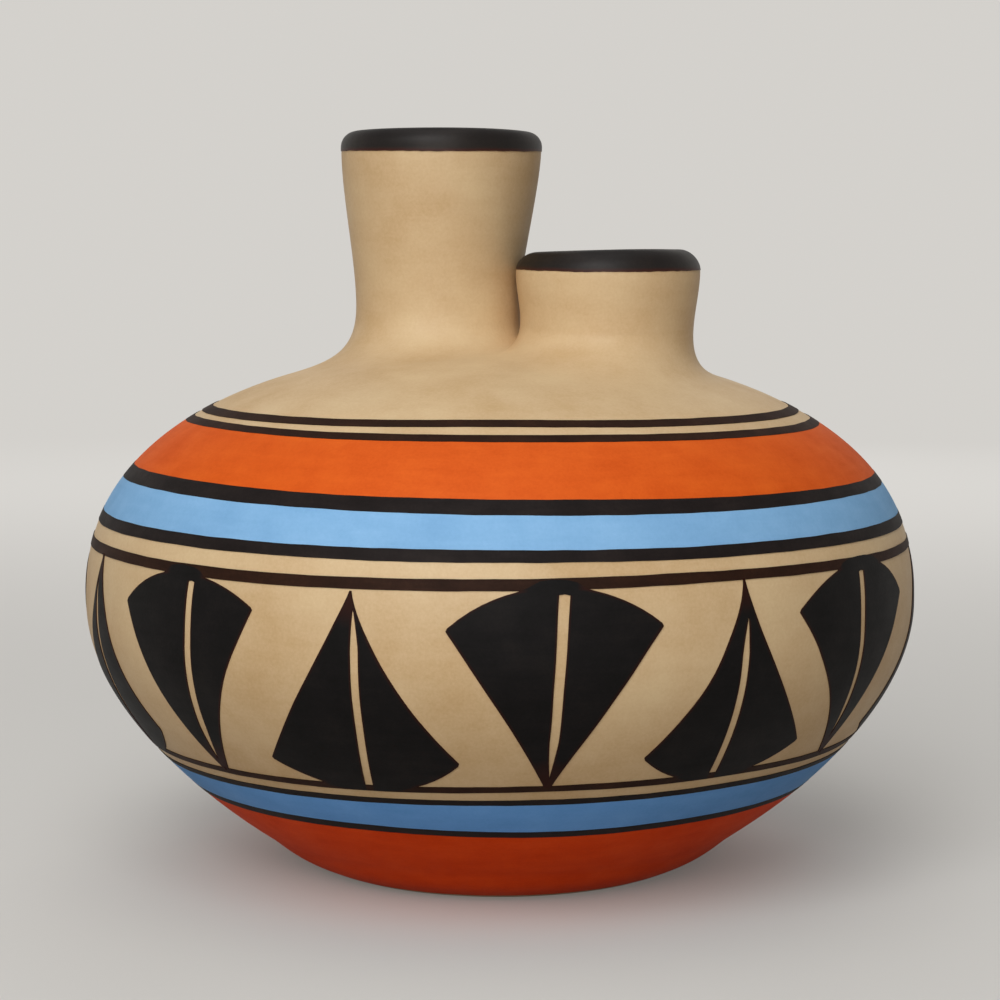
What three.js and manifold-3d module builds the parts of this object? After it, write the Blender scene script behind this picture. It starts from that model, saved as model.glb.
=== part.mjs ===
// Double spout vase: a squat earthenware jar with a tall and a short spout side by side, painted with bands
// of coloured slip and a belt of fans. Millimetres, +Z up. The origin is the centre of the foot, on the
// surface that the vase stands on, and +X runs from the tall spout to the short one.
import * as THREE from "three";
import { mergeVertices } from "three/addons/utils/BufferGeometryUtils.js";
import Module from "manifold-3d";

const wasm = await Module();
wasm.setup();

// Outside of the body
const FOOT_RADIUS = 45.5;
const FOOT_SLOPE = 22; // degrees, of the wall where it leaves the foot
const FOOT_PULL = 5; // how far the wall holds that slope
const BELLY_RADIUS = 102.8;
const BELLY_HEIGHT = 66.2;
const BELLY_PULL = 34; // how far below the belly the wall stays upright
const SHOULDER_RISE = 61.8; // from the belly to the crown of the dome
const SHOULDER_RISE_POWER = 2.39;
const SHOULDER_WIDTH_POWER = 2.17;

// Clay pieces and the luted seams between them
const WALL = 5.5;
const SEAM_GAP = 0.3; // the layer of slip in a seam
const BELLY_SEAM = 2; // above the belly, along the wall
const SCARF = 3; // how far a seam's bevel climbs from the inside of the wall to the outside
const DOME_MARGIN = 3; // bare clay between the top line and the dome's seam

// Tall spout
const TALL_OFFSET = 16.85; // of its axis from the body's, at the crown
const TALL_LEAN = 1.7; // degrees, of its axis towards +X; the rim stays level
const TALL_RISE = 53.5; // from the crown of the dome to the rim
const TALL_MOUTH_RADIUS = 25.3;
const TALL_WAIST_RADIUS = 20.4;
const TALL_WAIST_RISE = 9.5; // from the crown to the narrowest part
const TALL_BORE_RADIUS = 15; // at the dome
const TALL_SKIRT = 17; // how far the flared foot of the spout runs out from its waist

// Short spout
const SHORT_LEAN = 1.1;
const SHORT_RISE = 24.4;
const SHORT_MOUTH_RADIUS = 22.6;
const SHORT_WAIST_RADIUS = 21.3;
const SHORT_WAIST_RISE = 3.8;
const SHORT_BORE_RADIUS = 15.5;
const SHORT_SKIRT = 9;

// Both spouts
const SPOUT_GAP = 0.2; // between the short spout's painted rim and the tall spout
const LIP_ROUND = 4.8; // outer rounding of the rim
const LIP_INNER_ROUND = 3;
const SKIRT_EDGE = 0.8; // thickness where a skirt feathers out on the dome
const SKIRT_HOLD = 0.95; // share of a skirt that is held back where it faces the other spout
const SKIRT_FULLNESS = 0.66; // share of the skirt's reach over which each end keeps its direction
const NECK_FULLNESS = 0.25; // the same for the neck, as a share of its length

// Coats of slip on the clay, widths along the wall
const COAT = 0.3;
const COAT_GAP = 0.1;
const FAN_ZONE_ABOVE = 14.2; // from the belly up to the fans' upper line
const FAN_ZONE_BELOW = 32.8; // from the belly down to the fans' lower line
const LINE = 2.8;
const HEAVY_LINE = 3.9;
const FINE_LINE = 2.3;
const BARE_STRIPE = 3.4;
const NARROW_STRIPE = 2.6;
const BLUE_BAND = 8.1;
const ORANGE_BAND = 17.5;
const BASE_BLUE_BAND = 10.4;
const FOOT_MARGIN = 2.5; // bare clay between the base coat and the foot
const RIM_COAT_DEPTH = 4; // how far a rim's coat runs down inside the mouth

// Fans, alternately upright with the point down and turned over
const FAN_PAIRS = 7;
const FAN_START = 24.9; // degrees from -Y towards +X, of the first upright fan
const FAN_DRIFT = 3.3; // degrees, by which the spacing tightens there and opens on the far side
const FAN_WIDTH = 46;
const FAN_CROWN = 8.5; // height of the round edge above the corners
const UPRIGHT_FAN_BITE = 0.6; // how far the round edge runs under its line
const TURNED_FAN_BITE = 3;
const SLIT = 2.3; // width of the bare rib at its wide end
const SLIT_END = 1; // from an upright fan's line to its rib
const SLIT_POINT = 4; // from a fan's point to the point of its rib

// Facets
const BODY_FACETS = 40;
const SPOUT_FACETS = 24;
const BOWL_STEPS = 8;
const SHOULDER_STEPS = 11;
const NECK_STEPS = 4;
const SKIRT_STEPS = 5;
const LIP_STEPS = 3;
const LIP_INNER_STEPS = 2;
const FAN_STEPS = 5; // along a fan's round edge
const DOME_STEPS = 3; // under a skirt

const CROWN = BELLY_HEIGHT + SHOULDER_RISE;
const radians = THREE.MathUtils.degToRad;

const material = (color, roughness) => new THREE.MeshStandardMaterial({ color, roughness, metalness: 0 });
const TAN_CLAY = material(0xc9a97c, 0.7);
const BROWN_SLIP = material(0x2e1c14, 0.75);
const BLACK_SLIP = material(0x1f1c1a, 0.75);
const ORANGE_SLIP = material(0xdb5f1a, 0.7);
const BLUE_SLIP = material(0x7fb1e3, 0.7);

const vase = new THREE.Group();

function addPiece(name, geometry, finish) {
  const mesh = new THREE.Mesh(geometry, finish);
  mesh.name = name;
  vase.add(mesh);
}

// Solids for cutting and joining
function solidOf(geometry) {
  const bare = new THREE.BufferGeometry().setAttribute("position", geometry.getAttribute("position"));
  bare.setIndex(geometry.index);
  const merged = mergeVertices(bare);
  const vertProperties = merged.attributes.position.array;
  const triVerts = new Uint32Array(merged.index.array);
  return new wasm.Manifold(new wasm.Mesh({ numProp: 3, vertProperties, triVerts }));
}

function geometryOf(solid) {
  const mesh = solid.getMesh();
  const geometry = new THREE.BufferGeometry();
  geometry.setAttribute("position", new THREE.BufferAttribute(mesh.vertProperties, 3));
  geometry.setIndex(new THREE.BufferAttribute(mesh.triVerts, 1));
  geometry.computeVertexNormals();
  return geometry;
}

// Outline of the wall: the bowl is one Bezier curve, the shoulder a quarter of a superellipse
class ShoulderCurve extends THREE.Curve {
  getPoint(t) {
    const angle = (t * Math.PI) / 2;
    const width = Math.max(0, Math.cos(angle)) ** (2 / SHOULDER_WIDTH_POWER);
    const rise = Math.sin(angle) ** (2 / SHOULDER_RISE_POWER);
    return new THREE.Vector2(t === 1 ? 0 : BELLY_RADIUS * width, BELLY_HEIGHT + SHOULDER_RISE * rise);
  }
}

const bowlCurve = new THREE.CubicBezierCurve(
  new THREE.Vector2(FOOT_RADIUS, 0),
  new THREE.Vector2(
    FOOT_RADIUS + FOOT_PULL * Math.cos(radians(FOOT_SLOPE)),
    FOOT_PULL * Math.sin(radians(FOOT_SLOPE)),
  ),
  new THREE.Vector2(BELLY_RADIUS, BELLY_HEIGHT - BELLY_PULL),
  new THREE.Vector2(BELLY_RADIUS, BELLY_HEIGHT),
);
const bowlPoints = bowlCurve.getSpacedPoints(BOWL_STEPS);
const shoulderPoints = new ShoulderCurve().getSpacedPoints(SHOULDER_STEPS);
const outline = [...bowlPoints, ...shoulderPoints.slice(1)];

// Distance of each outline point along the wall, from the belly and positive upwards
const along = [0];
for (let i = 1; i < outline.length; i++) along.push(along[i - 1] + outline[i].distanceTo(outline[i - 1]));
const bellyAlong = along[BOWL_STEPS];
along.forEach((distance, i) => (along[i] = distance - bellyAlong));
const FOOT_END = along[0];
const CROWN_END = along[along.length - 1];

// A place on the outline, or on a moved copy of it, at a distance along the wall
function pointAt(points, distance) {
  let i = 1;
  while (i < along.length - 1 && along[i] < distance) i++;
  const share = (distance - along[i - 1]) / (along[i] - along[i - 1]);
  return points[i - 1].clone().lerp(points[i], share);
}
const wallPoint = (distance) => pointAt(outline, distance);

const SAME_POINT = 1e-6;
function stretchOf(points, from, to) {
  const between = points.filter((_, i) => along[i] > from + SAME_POINT && along[i] < to - SAME_POINT);
  return [pointAt(points, from), ...between, pointAt(points, to)];
}

// The inside of the wall needs only every second point between its ends
const coarser = (points) => points.filter((_, i) => i % 2 === 0 || i === points.length - 1);

// The whole outline moved square to the wall, outwards if distance is positive
const normals = outline.slice(1).map((point, i) => {
  const run = point.clone().sub(outline[i]).normalize();
  return new THREE.Vector2(run.y, -run.x);
});
function offsetOutline(distance) {
  return outline.map((point, i) => {
    const before = normals[Math.max(0, i - 1)];
    const after = normals[Math.min(normals.length - 1, i)];
    const mitre = before.clone().add(after).normalize();
    return point.clone().addScaledVector(mitre, distance / mitre.dot(after));
  });
}
const offsetStretch = (from, to, distance) => stretchOf(offsetOutline(distance), from, to);

const domeHeight = (radius) =>
  BELLY_HEIGHT +
  SHOULDER_RISE * (1 - Math.min(1, radius / BELLY_RADIUS) ** SHOULDER_WIDTH_POWER) ** (1 / SHOULDER_RISE_POWER);

// Solids of revolution about +Z, from profiles of (radius, height)
const revolve = (profile) => new THREE.LatheGeometry(profile, BODY_FACETS).rotateX(Math.PI / 2);
const ring = (outside, inside) => revolve([...outside, ...inside.reverse(), outside[0]]);

// Painted bands, stacked along the wall away from the fans; a band with no name is bare clay
const bandsAbove = [
  { name: "fan_upper_line", width: LINE, slip: BROWN_SLIP },
  { width: BARE_STRIPE },
  { name: "blue_lower_line", width: LINE, slip: BROWN_SLIP },
  { name: "blue_shoulder_band", width: BLUE_BAND, slip: BLUE_SLIP },
  { name: "blue_orange_line", width: HEAVY_LINE, slip: BROWN_SLIP },
  { name: "orange_shoulder_band", width: ORANGE_BAND, slip: ORANGE_SLIP },
  { name: "shoulder_lower_line", width: LINE, slip: BROWN_SLIP },
  { width: NARROW_STRIPE },
  { name: "shoulder_upper_line", width: LINE, slip: BROWN_SLIP },
];
const bandsBelow = [
  { name: "fan_lower_line", width: FINE_LINE, slip: BROWN_SLIP },
  { width: NARROW_STRIPE },
  { name: "base_blue_upper_line", width: FINE_LINE, slip: BROWN_SLIP },
  { name: "base_blue_band", width: BASE_BLUE_BAND, slip: BLUE_SLIP },
  { name: "base_line", width: FINE_LINE, slip: BROWN_SLIP },
];
const totalWidth = (bands) => bands.reduce((sum, band) => sum + band.width, 0);
const TOP_LINE_END = FAN_ZONE_ABOVE + totalWidth(bandsAbove);
const BASE_LINE_END = -FAN_ZONE_BELOW - totalWidth(bandsBelow);
const DOME_SEAM = TOP_LINE_END + DOME_MARGIN;

// A coat lies on the clay and keeps a hair's breadth from the coats beside it
function coatRing(from, to) {
  const [low, high] = [from + COAT_GAP / 2, to - COAT_GAP / 2];
  return ring(offsetStretch(low, high, COAT_GAP + COAT), offsetStretch(low, high, COAT_GAP));
}

function addBands(bands, start, direction) {
  let edge = start;
  for (const { name, width, slip } of bands) {
    const next = edge + direction * width;
    if (name) addPiece(name, coatRing(Math.min(edge, next), Math.max(edge, next)), slip);
    edge = next;
  }
}

// Body: a foot slab, a bowl and a shoulder wall that meet in bevelled seams, and a dome over them
function addBody() {
  const foot = wallPoint(FOOT_END);
  const [footInside] = offsetStretch(FOOT_END, CROWN_END, -WALL);
  const axis = (height) => new THREE.Vector2(0, height);
  addPiece("foot_slab", revolve([axis(0), foot, footInside, axis(footInside.y)]), TAN_CLAY);

  const wallPiece = (from, to) => {
    const insideFrom = Math.max(FOOT_END + SEAM_GAP, from - SCARF);
    const inside = coarser(offsetStretch(insideFrom, to - SCARF, -WALL));
    return ring(offsetStretch(from, to, 0), inside);
  };
  addPiece("lower_bowl", wallPiece(FOOT_END + SEAM_GAP, BELLY_SEAM), TAN_CLAY);
  addPiece("shoulder_wall", wallPiece(BELLY_SEAM + SEAM_GAP, DOME_SEAM), TAN_CLAY);
}

// A spout above its waist, as (radius, height above the crown): the neck, then the lip from outside to inside
function spoutProfile({ rise, mouth, waist, waistRise, bore }) {
  const pull = NECK_FULLNESS * (rise - waistRise);
  const neck = new THREE.CubicBezierCurve(
    new THREE.Vector2(waist, waistRise),
    new THREE.Vector2(waist, waistRise + pull),
    new THREE.Vector2(mouth, rise - LIP_ROUND - pull),
    new THREE.Vector2(mouth, rise - LIP_ROUND),
  ).getPoints(NECK_STEPS);
  const crest = mouth - LIP_ROUND;
  const quarter = (round, start, steps) =>
    new THREE.EllipseCurve(crest, rise - round, round, round, start, start + Math.PI / 2).getPoints(steps);
  const outer = quarter(LIP_ROUND, 0, LIP_STEPS);
  const lip = [...outer, ...quarter(LIP_INNER_ROUND, Math.PI / 2, LIP_INNER_STEPS).slice(1)];
  const throat = lip[lip.length - 1];
  return { neck, lip, throat, bore };
}

const tall = {
  side: 1,
  x: -TALL_OFFSET,
  lean: radians(TALL_LEAN),
  rise: TALL_RISE,
  mouth: TALL_MOUTH_RADIUS,
  waist: TALL_WAIST_RADIUS,
  waistRise: TALL_WAIST_RISE,
  bore: TALL_BORE_RADIUS,
  skirt: TALL_SKIRT,
};
const short = {
  side: -1,
  lean: radians(SHORT_LEAN),
  rise: SHORT_RISE,
  mouth: SHORT_MOUTH_RADIUS,
  waist: SHORT_WAIST_RADIUS,
  waistRise: SHORT_WAIST_RISE,
  bore: SHORT_BORE_RADIUS,
  skirt: SHORT_SKIRT,
};

// The short spout stands as close to the tall one as its painted rim allows
function reachTowardsOther(spout, level) {
  const { neck, lip } = spoutProfile(spout);
  const outside = [...neck, ...lip.slice(1, LIP_STEPS + 1)];
  let i = 1;
  while (i < outside.length - 1 && outside[i].y < level) i++;
  const share = THREE.MathUtils.clamp((level - outside[i - 1].y) / (outside[i].y - outside[i - 1].y), 0, 1);
  const radius = THREE.MathUtils.lerp(outside[i - 1].x, outside[i].x, share);
  return radius + spout.side * level * Math.tan(spout.lean);
}
function closestPlace() {
  const { neck, lip } = spoutProfile(short);
  const levels = [...neck, ...lip.slice(1, LIP_STEPS + 1)].map((point) => point.y);
  const reaches = levels.map((level) => reachTowardsOther(tall, level) + reachTowardsOther(short, level));
  return tall.x + Math.max(...reaches) + COAT_GAP + COAT + SPOUT_GAP;
}
short.x = closestPlace();

// The plane of the crease between the two skirts, halfway between the waists
const tallSide = tall.x + reachTowardsOther(tall, tall.waistRise);
const CREASE = (tallSide + short.x - short.waist) / 2;
const CREASE_TOP = CROWN + Math.max(tall.waistRise, short.waistRise);

function domePoint(spout, angle, reach, lift) {
  const x = spout.x + reach * Math.cos(angle);
  const y = reach * Math.sin(angle);
  return new THREE.Vector3(x, y, domeHeight(Math.hypot(x, y)) + lift);
}

// How far a skirt runs: little on the side that faces the other spout, and never as far as the dome's seam
function skirtReach(spout, angle) {
  const limit = wallPoint(DOME_SEAM).x - DOME_MARGIN;
  const across = spout.x * Math.cos(angle);
  const room = -across + Math.sqrt(across ** 2 + limit ** 2 - spout.x ** 2);
  const facing = Math.max(0, spout.side * Math.cos(angle));
  return Math.min(spout.waist + spout.skirt * (1 - SKIRT_HOLD * facing ** 2), room);
}

// Places profile points around a spout, whose axis leans while each level stays level
function placeAround(spout, angle, points) {
  return points.map(({ x: radius, y: level }) => {
    const x = spout.x + level * Math.tan(spout.lean) + radius * Math.cos(angle);
    return new THREE.Vector3(x, radius * Math.sin(angle), CROWN + level);
  });
}

// One upright slice through a spout: up the skirt and neck, over the lip, down the bore, out along the dome
function spoutSlice(spout, angle) {
  const { neck, lip, bore } = spoutProfile(spout);
  const [waist, ...above] = placeAround(spout, angle, [...neck, ...lip.slice(1)]);
  const axis = new THREE.Vector3(Math.sin(spout.lean), 0, Math.cos(spout.lean));
  const reach = skirtReach(spout, angle);
  const edge = domePoint(spout, angle, reach, SEAM_GAP + SKIRT_EDGE);
  const inwards = domePoint(spout, angle, reach - 1, SEAM_GAP + SKIRT_EDGE).sub(edge).normalize();
  const skirt = new THREE.CubicBezierCurve3(
    edge,
    edge.clone().addScaledVector(inwards, SKIRT_FULLNESS * (reach - spout.waist)),
    waist.clone().addScaledVector(axis, SKIRT_FULLNESS * (edge.z - waist.z)),
    waist,
  ).getPoints(SKIRT_STEPS);
  const seat = Array.from({ length: DOME_STEPS + 1 }, (_, i) =>
    domePoint(spout, angle, THREE.MathUtils.lerp(bore, reach, i / DOME_STEPS), SEAM_GAP),
  );
  return [...skirt, ...above, ...seat];
}

// A closed ring of solid skinned over slices that are all closed outlines with the same number of points
function skinRing(slices) {
  const count = slices[0].length;
  const vertex = (i, j) => (i % slices.length) * count + (j % count);
  const index = [];
  for (let i = 0; i < slices.length; i++) {
    for (let j = 0; j < count; j++) {
      index.push(vertex(i, j), vertex(i + 1, j), vertex(i + 1, j + 1));
      index.push(vertex(i, j), vertex(i + 1, j + 1), vertex(i, j + 1));
    }
  }
  return new THREE.BufferGeometry().setFromPoints(slices.flat()).setIndex(index);
}

const spoutAngles = Array.from({ length: SPOUT_FACETS }, (_, i) => (2 * Math.PI * i) / SPOUT_FACETS);

function addSpout(name, spout) {
  const slices = spoutAngles.map((angle) => spoutSlice(spout, angle));
  const beyond = new THREE.BoxGeometry(BELLY_RADIUS, 2 * BELLY_RADIUS, CREASE_TOP);
  beyond.translate(CREASE + spout.side * (BELLY_RADIUS / 2 - SEAM_GAP / 2), 0, CREASE_TOP / 2);
  addPiece(name, geometryOf(solidOf(skinRing(slices)).subtract(solidOf(beyond))), TAN_CLAY);
}

function addDome() {
  const outside = offsetStretch(DOME_SEAM + SEAM_GAP, CROWN_END, 0);
  const inside = coarser(offsetStretch(DOME_SEAM + SEAM_GAP - SCARF, CROWN_END, -WALL));
  inside[inside.length - 1].x = 0;
  let dome = solidOf(revolve([...inside.reverse(), ...outside]));
  for (const spout of [tall, short]) {
    const hole = new THREE.CylinderGeometry(spout.bore, spout.bore, CROWN, SPOUT_FACETS);
    dome = dome.subtract(solidOf(hole.rotateX(Math.PI / 2).translate(spout.x, 0, CROWN)));
  }
  addPiece("shoulder_dome", geometryOf(dome), TAN_CLAY);
}

// The rim's coat wraps the lip from its outer edge over the crest and a little way down the bore
function addRimCoat(name, spout) {
  const { lip, throat, bore } = spoutProfile(spout);
  const inside = throat.clone().lerp(new THREE.Vector2(bore, 0), RIM_COAT_DEPTH / throat.y);
  const shell = (distance) => {
    const grow = (LIP_ROUND + distance) / LIP_ROUND;
    const growInner = (LIP_INNER_ROUND + distance) / LIP_INNER_ROUND;
    const crest = spout.mouth - LIP_ROUND;
    const around = lip.map((point, i) => {
      const outer = i <= LIP_STEPS;
      const round = outer ? LIP_ROUND : LIP_INNER_ROUND;
      const scale = outer ? grow : growInner;
      const centre = new THREE.Vector2(crest, spout.rise - round);
      return point.clone().sub(centre).multiplyScalar(scale).add(centre);
    });
    return [...around, new THREE.Vector2(inside.x - distance, inside.y)];
  };
  const section = [...shell(COAT_GAP + COAT), ...shell(COAT_GAP).reverse()];
  addPiece(name, skinRing(spoutAngles.map((angle) => placeAround(spout, angle, section))), BLACK_SLIP);
}

// One fan drawn flat: x across, y up, its point at y = 0 and the crest of its round edge at y = length
function fanShape(length, ribFrom, ribTo) {
  const half = FAN_WIDTH / 2;
  const corner = length - FAN_CROWN;
  const round = (half ** 2 + FAN_CROWN ** 2) / (2 * FAN_CROWN);
  const sweep = Math.asin(half / round);
  const shape = new THREE.Shape();
  shape.moveTo(0, 0);
  shape.lineTo(half, corner);
  shape.absarc(0, length - round, round, Math.PI / 2 - sweep, Math.PI / 2 + sweep);
  shape.closePath();
  const rib = new THREE.Path();
  rib.moveTo(0, ribFrom);
  rib.lineTo(-SLIT / 2, ribTo);
  rib.lineTo(SLIT / 2, ribTo);
  rib.closePath();
  if (ribTo < length) shape.holes.push(rib);
  return shape;
}

function addFans() {
  const zone = solidOf(coatRing(-FAN_ZONE_BELOW, FAN_ZONE_ABOVE));
  const low = wallPoint(-FAN_ZONE_BELOW).y;
  const high = wallPoint(FAN_ZONE_ABOVE).y;
  const depth = BELLY_RADIUS + COAT_GAP + COAT;
  const count = 2 * FAN_PAIRS;
  for (let i = 0; i < count; i++) {
    const turn = (2 * Math.PI * i) / count;
    const angle = radians(FAN_START - FAN_DRIFT * Math.sin(turn)) + turn;
    const upright = i % 2 === 0;
    const length = high - low + (upright ? UPRIGHT_FAN_BITE : TURNED_FAN_BITE);
    const ribTo = upright ? high - low - SLIT_END : length - SLIT_END;
    const options = { depth, bevelEnabled: false, curveSegments: FAN_STEPS };
    const prism = new THREE.ExtrudeGeometry(fanShape(length, SLIT_POINT, ribTo), options);
    prism.rotateX(Math.PI / 2);
    if (!upright) prism.rotateY(Math.PI);
    prism.translate(0, 0, upright ? low : high).rotateZ(angle);
    const name = `fan_${String(i + 1).padStart(2, "0")}`;
    addPiece(name, geometryOf(zone.intersect(solidOf(prism))), BLACK_SLIP);
  }
}

addBody();
addDome();
addSpout("tall_spout", tall);
addSpout("short_spout", short);
addRimCoat("tall_rim_coat", tall);
addRimCoat("short_rim_coat", short);
addBands(bandsAbove, FAN_ZONE_ABOVE, 1);
addBands(bandsBelow, -FAN_ZONE_BELOW, -1);
addPiece("orange_base_coat", coatRing(FOOT_END + FOOT_MARGIN, BASE_LINE_END), ORANGE_SLIP);
addFans();

export default vase;
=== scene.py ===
from bisect import bisect_right
from functools import partial
from math import asin, cos, degrees, hypot, pi, radians, sin, tan

import bmesh
import bpy
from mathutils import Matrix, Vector, noise
from mathutils.geometry import interpolate_bezier


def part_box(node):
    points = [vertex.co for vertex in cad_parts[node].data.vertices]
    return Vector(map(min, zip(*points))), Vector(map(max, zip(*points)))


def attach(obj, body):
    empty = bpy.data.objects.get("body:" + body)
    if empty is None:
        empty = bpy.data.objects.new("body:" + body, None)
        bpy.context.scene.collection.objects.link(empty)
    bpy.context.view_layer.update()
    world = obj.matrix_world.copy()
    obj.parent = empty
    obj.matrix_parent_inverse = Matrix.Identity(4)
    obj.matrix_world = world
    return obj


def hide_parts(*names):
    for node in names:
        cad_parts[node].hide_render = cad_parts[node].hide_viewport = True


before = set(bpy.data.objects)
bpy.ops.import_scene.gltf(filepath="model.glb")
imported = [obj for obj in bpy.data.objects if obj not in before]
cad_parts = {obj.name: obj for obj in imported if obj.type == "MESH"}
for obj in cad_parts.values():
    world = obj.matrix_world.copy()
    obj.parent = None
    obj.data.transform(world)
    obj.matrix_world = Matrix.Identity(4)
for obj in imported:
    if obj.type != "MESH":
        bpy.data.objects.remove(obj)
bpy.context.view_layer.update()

# Double spout vase of hand-built earthenware, painted with bands of slip and a belt of fans.
# Every size is in millimetres and every angle is written in degrees; MM brings a place into the frame's
# metres. Angles round the vase run from -Y towards +X.
MM = 0.001
MERGE = 0.002 * MM
SHARP_ANGLE = radians(38)

# Outside of the body, as in the solids
FOOT_RADIUS = 45.5
FOOT_SLOPE = radians(22)
FOOT_PULL = 5
BELLY_RADIUS = 102.8
BELLY_HEIGHT = 66.2
BELLY_PULL = 34
SHOULDER_RISE = 61.8
SHOULDER_RISE_POWER = 2.39
SHOULDER_WIDTH_POWER = 2.17
CROWN = BELLY_HEIGHT + SHOULDER_RISE
BOWL_STEPS = 800
SHOULDER_STEPS = 1200
WALL = 5.5
SCARF = 3
BELLY_SEAM = 2
DOME_SEAM = 64.4

# Spouts: each stands on the crown at x, and its levels are measured up from there. side is the way to the
# other spout; tilt and sag are the rim's; web is the clay between the necks. hold is how much shorter the
# skirt is towards the other spout. The waist is higher by facing_climb there and by front_climb in front,
# where the skirt is also longer by front_run and softer by front_soft.
TALL = dict(
    x=-16.85, side=1, lean=tan(radians(1.7)), rise=53.5, tilt=0.0, sag=0.3,
    mouth=24.95, lip=3.6, waist=20.4, waist_rise=9.5, bore=15.0, web=1.0,
    skirt=17.0, hold=0.62, facing_climb=0.0, front_run=0.0, front_climb=0.0, front_soft=0.0,
)
SHORT = dict(
    side=-1, lean=tan(radians(1.1)), rise=24.05, tilt=0.024, sag=0.75,
    mouth=22.6, lip=5.2, waist=21.3, waist_rise=3.8, bore=15.5, web=0.0,
    skirt=9.0, hold=0.4, facing_climb=3.4, front_run=13.0, front_climb=0.4, front_soft=0.26,
)
SAG_POWER = 5
TILT_POWER = 6
LIP_INNER_ROUND = 3.0
WEB_LEVEL = 6
WEB_REACH = 10
SKIRT_FULLNESS = 0.66
NECK_FULLNESS = 0.25
SKIRT_SUNK = 0.03
# The short spout stands this much nearer the tall one than in the solids
SHORT_SHIFT = 0.35
rim_low, rim_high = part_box("short_rim_coat")
rim_middle = (rim_low[0] + rim_high[0]) / 2 / MM
SHORT["x"] = rim_middle - SHORT["lean"] * (SHORT["rise"] - SHORT["lip"]) - SHORT_SHIFT

# Camera, from the perspective of the painted lines
VIEW_ANGLE = radians(18.25)
VIEW_DISTANCE = 616.7
VIEW_HEIGHT = 150.7
VIEW_PITCH = radians(5.64)
LENS = 88.8
SENSOR = 36
NEAREST = 10


def linear(code):
    """An sRGB hex colour as linear RGBA."""
    parts = [int(code[i:i + 2], 16) / 255 for i in (1, 3, 5)]
    return [c / 12.92 if c <= 0.04045 else ((c + 0.055) / 1.055) ** 2.4 for c in parts] + [1.0]


def mix(a, b, share):
    return a + (b - a) * share


def clamp(value):
    """The value, kept between 0 and 1."""
    return min(1, max(0, value))


# The wall's outside

def bezier(knots, steps):
    """Points (across, up) on one cubic curve through the given knot, two handles and knot."""
    flat = [Vector((across, up, 0)) for across, up in knots]
    return [(point.x, point.y) for point in interpolate_bezier(*flat, steps + 1)]


def wall_outline():
    """Distance along the wall from the belly, radius and height, from the foot to the crown."""
    bowl = bezier(
        [
            (FOOT_RADIUS, 0),
            (FOOT_RADIUS + FOOT_PULL * cos(FOOT_SLOPE), FOOT_PULL * sin(FOOT_SLOPE)),
            (BELLY_RADIUS, BELLY_HEIGHT - BELLY_PULL),
            (BELLY_RADIUS, BELLY_HEIGHT),
        ],
        BOWL_STEPS,
    )
    shoulder = []
    for step in range(1, SHOULDER_STEPS):
        turn = step / SHOULDER_STEPS * pi / 2
        width = cos(turn) ** (2 / SHOULDER_WIDTH_POWER)
        rise = sin(turn) ** (2 / SHOULDER_RISE_POWER)
        shoulder.append((BELLY_RADIUS * width, BELLY_HEIGHT + SHOULDER_RISE * rise))
    points = bowl + shoulder + [(0.0, CROWN)]
    along = [0.0]
    for (r0, z0), (r1, z1) in zip(points, points[1:]):
        along.append(along[-1] + hypot(r1 - r0, z1 - z0))
    belly = along[len(bowl) - 1]
    return [a - belly for a in along], [r for r, _ in points], [z for _, z in points]


ALONG, RADII, HEIGHTS = wall_outline()
FOOT_END, CROWN_END = ALONG[0], ALONG[-1]


def wall(along):
    """Radius, height, and the outward direction (across, up) at a distance along the wall."""
    i = min(max(bisect_right(ALONG, along), 1), len(ALONG) - 1)
    share = (along - ALONG[i - 1]) / (ALONG[i] - ALONG[i - 1])
    run, climb = RADII[i] - RADII[i - 1], HEIGHTS[i] - HEIGHTS[i - 1]
    length = hypot(run, climb)
    return RADII[i - 1] + run * share, HEIGHTS[i - 1] + climb * share, climb / length, -run / length


def along_at(height):
    """The distance along the wall at a height."""
    i = min(max(bisect_right(HEIGHTS, height), 1), len(HEIGHTS) - 1)
    share = (height - HEIGHTS[i - 1]) / (HEIGHTS[i] - HEIGHTS[i - 1])
    return mix(ALONG[i - 1], ALONG[i], share)


def dome_height(x, y):
    width = min(1, hypot(x, y) / BELLY_RADIUS)
    return BELLY_HEIGHT + SHOULDER_RISE * (1 - width ** SHOULDER_WIDTH_POWER) ** (1 / SHOULDER_RISE_POWER)


# The hand-built wall is uneven by UNEVEN, in waves of about UNEVEN_SPREAD, and true at the foot and on the
# dome; just above the foot it is fuller by FOOT_FULL
UNEVEN = 0.22
UNEVEN_SPREAD = 38
UNEVEN_END = 62
UNEVEN_FADE = 25
FOOT_FULL = 0.6
FOOT_FULL_MIDDLE = 9
FOOT_FULL_REACH = 9


def on_wall(along, angle, lift=0.0):
    """A place on the hand-built wall, lift millimetres out from it."""
    radius, height, out, up = wall(along)
    spot = Vector((radius * sin(angle), -radius * cos(angle), height))
    fade = clamp((UNEVEN_END - along) / UNEVEN_FADE) * clamp((along - FOOT_END) / UNEVEN_FADE)
    lift += UNEVEN * fade * noise.noise(spot / UNEVEN_SPREAD)
    from_middle = (along - FOOT_END - FOOT_FULL_MIDDLE) / FOOT_FULL_REACH
    lift += FOOT_FULL * max(0, 1 - from_middle ** 2) ** 2
    radius += lift * out
    return Vector((radius * sin(angle), -radius * cos(angle), height + lift * up)) * MM


# Making pieces

HAIR = 0.08


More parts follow.
